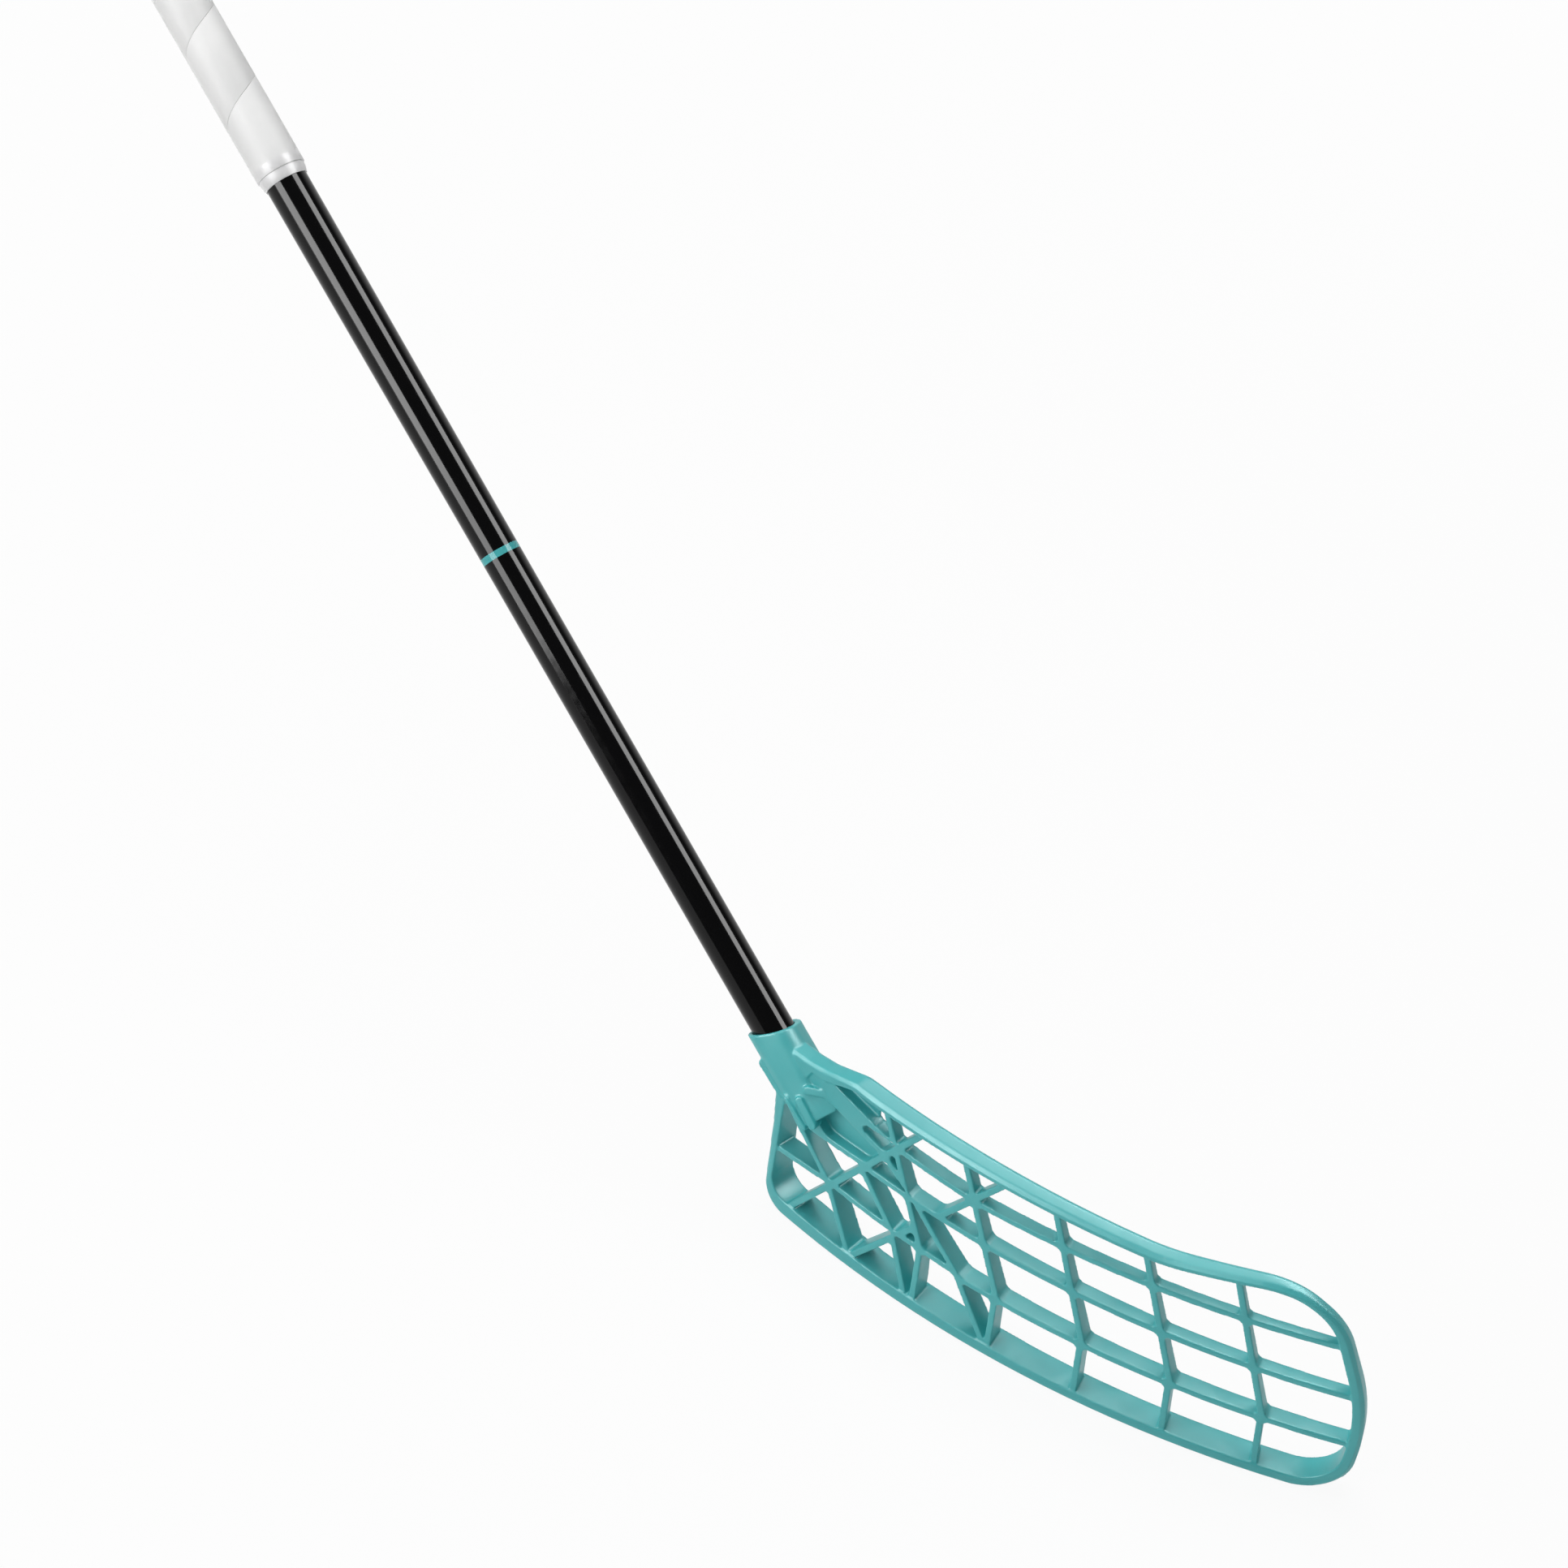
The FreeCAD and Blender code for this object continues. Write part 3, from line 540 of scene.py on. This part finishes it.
def make_screw():
    """A pan head with a round recess on the socket's far face, its shank in the shaft's wall."""
    shank = SOCKET_HALF_WIDTH - SHAFT_BORE_RADIUS
    top = shank + SCREW_HEAD_HEIGHT
    profile = [
        (0.0, -SCREW_TIP_LENGTH),
        (SCREW_SHANK_RADIUS, 0.0),
        (SCREW_SHANK_RADIUS, shank),
        (SCREW_HEAD_RADIUS, shank),
        *rounded_edge(SCREW_HEAD_RADIUS, top, SCREW_EDGE, SCREW_EDGE_SWEEP, SCREW_EDGE_STEPS),
        (RECESS_RADIUS, top),
        (RECESS_FLOOR_RADIUS, top - RECESS_DEPTH),
        (0.0, top - RECESS_DEPTH),
    ]
    outwards = Matrix.Rotation(math.radians(-90), 4, "X")
    place = Matrix.Translation((0.0, SHAFT_BORE_RADIUS, 0.0)) @ outwards
    mesh = lathe("blade_screw", profile, shaft_matrix(-SCREW_REACH) @ place, SCREW_STEPS)
    new_piece("blade_screw_head", mesh, screw_steel(), "blade_screw")


def winding_tree(material):
    """A node tree that winds one flat strip with eased edges up the shaft, its sections upright."""
    tree = bpy.data.node_groups.new("wound_strip", "GeometryNodeTree")
    for name in ("Turns", "Pitch", "Strip Width", "Thickness", "Middle Radius", "Edge Round"):
        tree.interface.new_socket(name, in_out="INPUT", socket_type="NodeSocketFloat")
    tree.interface.new_socket("Geometry", in_out="OUTPUT", socket_type="NodeSocketGeometry")
    nodes = Nodes(tree)
    sizes = nodes.node("NodeGroupInput").outputs

    # The strip lies flat first: X through its thickness, Y along it in turns, Z across its width
    end = nodes.node("ShaderNodeCombineXYZ", {"Y": sizes["Turns"]})
    straight = nodes.node("GeometryNodeCurvePrimitiveLine", {"End": end.outputs[0]})
    count = nodes.maths("MULTIPLY", sizes["Turns"], TURN_STEPS)
    steps = nodes.node(
        "GeometryNodeResampleCurve", {"Curve": straight.outputs["Curve"], "Count": count})
    upright = nodes.node(
        "GeometryNodeSetCurveNormal", {"Curve": steps.outputs["Curve"]}, mode="Z_UP")
    section = nodes.node(
        "GeometryNodeCurvePrimitiveQuadrilateral",
        {"Width": sizes["Thickness"], "Height": sizes["Strip Width"]})
    eased = nodes.node(
        "GeometryNodeFilletCurve",
        {"Curve": section.outputs["Curve"], "Count": GRIP_EDGE_STEPS, "Radius": sizes["Edge Round"]},
        mode="POLY")
    swept = nodes.node("GeometryNodeCurveToMesh", {
        "Curve": upright.outputs["Curve"],
        "Profile Curve": eased.outputs["Curve"],
        "Fill Caps": True,
    })

    # Then every point of it is turned about Z and lifted by the pitch
    position = nodes.node("GeometryNodeInputPosition").outputs[0]
    flat = nodes.node("ShaderNodeSeparateXYZ", {0: position}).outputs
    turned = nodes.maths("MULTIPLY", flat["Y"], 2 * math.pi)
    radius = nodes.maths("ADD", sizes["Middle Radius"], flat["X"])
    lift = nodes.maths("MULTIPLY", flat["Y"], sizes["Pitch"])
    wound = nodes.node("ShaderNodeCombineXYZ", {
        "X": nodes.maths("MULTIPLY", radius, nodes.maths("COSINE", turned)),
        "Y": nodes.maths("MULTIPLY", radius, nodes.maths("SINE", turned)),
        "Z": nodes.maths("ADD", flat["Z"], lift),
    })
    placed = nodes.node(
        "GeometryNodeSetPosition",
        {"Geometry": swept.outputs["Mesh"], "Position": wound.outputs[0]})
    whole = nodes.node("GeometryNodeRealizeInstances", {"Geometry": placed.outputs["Geometry"]})
    coated = nodes.node(
        "GeometryNodeSetMaterial",
        {"Geometry": whole.outputs["Geometry"], "Material": material})
    nodes.node("NodeGroupOutput", {"Geometry": coated.outputs["Geometry"]})
    return tree


def run_tree(tree, sizes, name):
    """Evaluate a node tree with these sizes and return its plain mesh."""
    carrier = new_object(name, bpy.data.meshes.new(name))
    modifier = carrier.modifiers.new(name, "NODES")
    modifier.node_group = tree
    for item in tree.interface.items_tree:
        if item.in_out == "INPUT":
            modifier[item.identifier] = sizes[item.name]
    return baked(carrier)


def cut_square(mesh, height, keep_above):
    """Cut a wound mesh square at a height and close the cut."""
    build = bmesh.new()
    build.from_mesh(mesh)
    geometry = build.verts[:] + build.edges[:] + build.faces[:]
    cut = bmesh.ops.bisect_plane(
        build, geom=geometry, plane_co=(0, 0, height), plane_no=(0, 0, 1),
        clear_inner=keep_above, clear_outer=not keep_above)
    rim = [item for item in cut["geom_cut"] if isinstance(item, bmesh.types.BMEdge)]
    bmesh.ops.edgenet_fill(build, edges=rim)
    bmesh.ops.recalc_face_normals(build, faces=build.faces)
    build.to_mesh(mesh)
    build.free()


def make_grip():
    """The band, wound edge to edge from the tape to the cap."""
    material = grip_band()
    turns = math.ceil(GRIP_LENGTH / GRIP_PITCH) + 1
    sizes = {
        "Turns": float(turns),
        "Pitch": GRIP_PITCH,
        "Strip Width": GRIP_PITCH - GRIP_SEAM,
        "Thickness": GRIP_RADIUS - GRIP_SEAT_RADIUS,
        "Middle Radius": (GRIP_RADIUS + GRIP_SEAT_RADIUS) / 2,
        "Edge Round": GRIP_EDGE_ROUND,
    }
    mesh = run_tree(winding_tree(material), sizes, "grip_winding")
    mesh.transform(Matrix.Translation((0.0, 0.0, -GRIP_PITCH / 2)))
    cut_square(mesh, 0.0, True)
    cut_square(mesh, GRIP_LENGTH, False)
    mesh.transform(shaft_matrix(BARE_LENGTH))
    shade_smooth(mesh, WOUND_SHARP_ANGLE)
    new_piece("grip_winding", mesh, material, "grip_wrap")


# Studio
def make_camera():
    data = bpy.data.cameras.new("photo_camera")
    data.lens = CAMERA_LENS
    data.sensor_width = CAMERA_SENSOR
    data.sensor_fit = "HORIZONTAL"
    data.clip_end = CAMERA_CLIP
    camera = new_object("photo_camera", data)
    turn = Matrix((CAMERA_RIGHT, -CAMERA_DOWN, -CAMERA_AHEAD)).transposed()
    camera.matrix_world = Matrix.Translation(CAMERA_PLACE) @ turn.to_4x4()
    bpy.context.scene.camera = camera


def softbox(name, place, target, length, width, power):
    """A rectangular lamp that faces a target, with its length along the shaft."""
    data = bpy.data.lights.new(name, "AREA")
    data.shape = "RECTANGLE"
    data.size = length
    data.size_y = width
    data.energy = power
    lamp = new_object(name, data)
    back = (place - target).normalized()
    long_side = (AXIS - back * AXIS.dot(back)).normalized()
    turn = Matrix((long_side, back.cross(long_side), back)).transposed()
    lamp.matrix_world = Matrix.Translation(place) @ turn.to_4x4()
    return lamp


def make_lights():
    """Two long strips where the shaft mirrors them, one softbox overhead and one at the front."""
    middle = AXIS * STRIP_HEIGHT
    sight = (CAMERA_PLACE - middle).normalized()
    front = (sight - AXIS * sight.dot(AXIS)).normalized()
    side = front.cross(AXIS)
    for name, across, shift, width, power in STRIPS:
        normal = front * math.cos(math.asin(across)) + side * across
        mirrored = 2 * normal.dot(sight) * normal - sight
        target = middle + AXIS * shift
        strip = softbox(name, target + mirrored * STRIP_DISTANCE, target, STRIP_LENGTH, width, power)
        strip.visible_diffuse = False
    for name, place, box_side, power in SOFTBOXES:
        softbox(name, place, BLADE_MIDDLE, box_side, box_side, power)


def make_floor():
    """White to the camera and to mirrors, with the object's shadow kept near it."""
    low = cad_box[0][2]
    corners = [(x * FLOOR_HALF, y * FLOOR_HALF, low) for x, y in ((-1, -1), (1, -1), (1, 1), (-1, 1))]
    mesh = bpy.data.meshes.new("studio_floor")
    mesh.from_pydata(corners, [], [(0, 1, 2, 3)])
    floor = new_object("studio_floor", mesh)
    shader = Shader("pale_floor")
    shader.finish(Base_Color=(*FLOOR_WHITE, 1.0), Roughness=0.9, Specular_IOR_Level=0.1)
    glow = shader.node("ShaderNodeEmission")
    rays = shader.node("ShaderNodeLightPath").outputs
    seen = shader.maths("MAXIMUM", rays["Is Camera Ray"], rays["Is Transmission Ray"])
    seen = shader.maths("MAXIMUM", seen, rays["Is Glossy Ray"])
    reach = shader.node("ShaderNodeVectorMath", {0: shader.place()}, operation="LENGTH")
    share = shader.spread(reach.outputs["Value"], SHADE_NEAR, SHADE_FAR, NEAR_GLOW, 1.0)
    blend = shader.node("ShaderNodeMixShader", {
        0: shader.maths("MULTIPLY", seen, share),
        1: shader.surface.outputs[0],
        2: glow.outputs[0],
    })
    shader.put(shader.tree.nodes["Material Output"].inputs["Surface"], blend.outputs[0])
    mesh.materials.append(shader.material)


def make_world():
    """White where it is seen, white behind the object and dim by the camera where it is mirrored."""
    world = bpy.data.worlds.new("studio")
    bpy.context.scene.world = world
    world.use_nodes = True
    nodes = Nodes(world.node_tree)
    rays = nodes.node("ShaderNodeLightPath").outputs
    direction = nodes.node("ShaderNodeTexCoord").outputs["Generated"]
    ahead = nodes.along(direction, CAMERA_AHEAD)
    backdrop = nodes.spread(ahead, MIRROR_TURN_START, MIRROR_TURN_END, MIRROR_DIM, 1.0)
    mirrored = nodes.node(
        "ShaderNodeMix", {"Factor": rays["Is Glossy Ray"], "A": WORLD_LIGHT, "B": backdrop})
    straight = nodes.maths("MAXIMUM", rays["Is Camera Ray"], rays["Is Transmission Ray"])
    shown = world.node_tree.nodes["Background"]
    nodes.put(shown.inputs["Color"], (1, 1, 1, 1))
    nodes.put(shown.inputs["Strength"], nodes.maths("MAXIMUM", mirrored.outputs["Result"], straight))


make_blade()
make_shaft()
make_screw()
make_grip()
make_tape()
make_cap()
make_camera()
make_lights()
make_floor()
make_world()
bpy.context.scene.view_settings.view_transform = "Standard"
